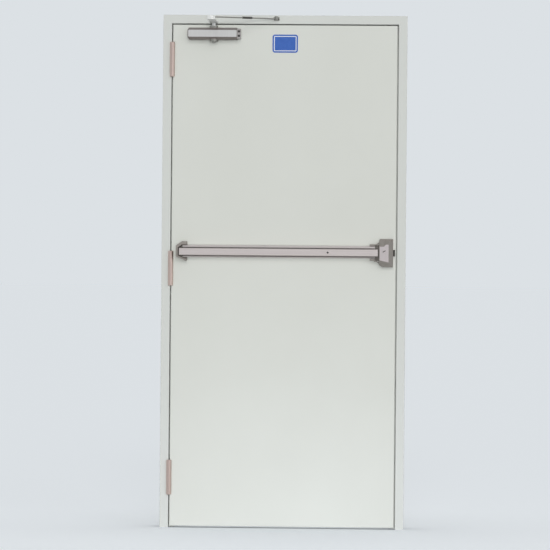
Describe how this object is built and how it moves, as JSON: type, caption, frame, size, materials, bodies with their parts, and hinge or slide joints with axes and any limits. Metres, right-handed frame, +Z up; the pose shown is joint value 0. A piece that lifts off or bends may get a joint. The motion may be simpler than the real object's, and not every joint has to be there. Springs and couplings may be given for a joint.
{
  "type": "steel utility door",
  "caption": "Flush steel door leaf in a folded steel frame, with butt hinges, a folding-arm door closer near the top and a horizontal push-bar exit device with a rim latch.",
  "frame": {"origin": "middle of the underside of the hinge jamb's floor plate, on the floor", "axes": "+Z up, +X along the wall from hinge side to latch side, +Y into the wall away from the hardware side"},
  "size_m": [1, 0.365, 2.1],
  "materials": {
    "frame_paint": "satin grey-white paint",
    "leaf_paint": "satin grey-white paint",
    "bare_steel": "zinc-coated sheet",
    "hinge_steel": "satin, warm tone",
    "closer_casting": "painted die casting",
    "closer_cap": "satin silver casting",
    "rubber": "matte",
    "rod_steel": "zinc plated",
    "closer_face": "satin silver",
    "arm_steel": "satin",
    "dark_steel": "dark oxide",
    "rail_aluminium": "satin anodised",
    "bar_aluminium": "satin anodised",
    "exit_casting": "dark grey painted casting",
    "lock_face": "satin"
  },
  "bodies": {
    "frame": {"hinge_jamb": "frame_paint", "strike_jamb": "frame_paint", "head": "frame_paint", "hinge_jamb_anchors": "bare_steel", "strike_jamb_anchors": "bare_steel", "hinge_jamb_floor_plate": "bare_steel", "strike_jamb_floor_plate": "bare_steel", "hinge_backing_plates": "bare_steel", "door_silencers": "rubber", "closer_shoe": "rod_steel", "closer_shoe_pin": "rod_steel", "lower_hinge_frame_half": "hinge_steel", "lower_hinge_pin": "hinge_steel", "middle_hinge_frame_half": "hinge_steel", "middle_hinge_pin": "hinge_steel", "upper_hinge_frame_half": "hinge_steel", "upper_hinge_pin": "hinge_steel"},
    "leaf": {"leaf_front_pan": "leaf_paint", "leaf_back_skin": "leaf_paint", "leaf_top_channel": "leaf_paint", "leaf_bottom_channel": "leaf_paint", "closer_body": "closer_casting", "closer_pinion_caps": "rod_steel", "closer_cover": "closer_face", "closer_end_cap": "closer_cap", "closer_spring_plug": "closer_cap", "closer_valve_screws": "dark_steel", "exit_rail": "rail_aluminium", "exit_end_bracket": "exit_casting", "push_bar_guides": "bare_steel", "dogging_screw": "dark_steel", "lock_head_cover": "exit_casting", "lock_head_face_plate": "lock_face", "lock_chassis": "exit_casting", "lower_hinge_leaf_half": "hinge_steel", "middle_hinge_leaf_half": "hinge_steel", "upper_hinge_leaf_half": "hinge_steel"},
    "push_bar": {"push_bar": "bar_aluminium", "push_bar_end_plugs": "exit_casting"},
    "latch": {"latch_bolt": "dark_steel"},
    "main_arm": {"closer_main_arm": "arm_steel", "closer_spindle": "arm_steel", "closer_arm_screw": "arm_steel"},
    "forearm": {"closer_elbow_eye": "arm_steel", "closer_forearm_rod": "rod_steel", "closer_forearm_sleeve": "dark_steel", "closer_forearm_end": "rod_steel"}
  },
  "joints": [
    {"name": "leaf_swing", "type": "hinge", "parent": "frame", "child": "leaf", "pos_m": [0.0205, -0.066, 0], "axis": [0, 0, -1], "range_deg": [0, 100], "stiffness_Nm_per_rad": 8, "springref_deg": -91.67},
    {"name": "bar_press", "type": "slide", "parent": "leaf", "child": "push_bar", "axis": [0, 1, 0], "range_m": [0, 0.014], "stiffness_N_per_m": 1500, "springref_m": -0.02},
    {"name": "latch_retract", "type": "slide", "parent": "leaf", "child": "latch", "axis": [-1, 0, 0], "range_m": [0, 0.008]},
    {"name": "main_arm_turn", "type": "hinge", "parent": "leaf", "child": "main_arm", "pos_m": [0.1907, -0.083, 2.064], "axis": [0, 0, 1], "range_deg": [0, 177]},
    {"name": "forearm_turn", "type": "hinge", "parent": "frame", "child": "forearm", "pos_m": [0.446, -0.077, 2.0716], "axis": [0, 0, -1], "range_deg": [0, 3.3]}
  ],
  "couplings": [
    {"joint": "latch_retract", "follows": "bar_press", "ratio": 0.57143},
    {"joint": "main_arm_turn", "follows": "leaf_swing", "ratio": 1.7695},
    {"joint": "forearm_turn", "follows": "leaf_swing", "ratio": 0.032735}
  ]
}
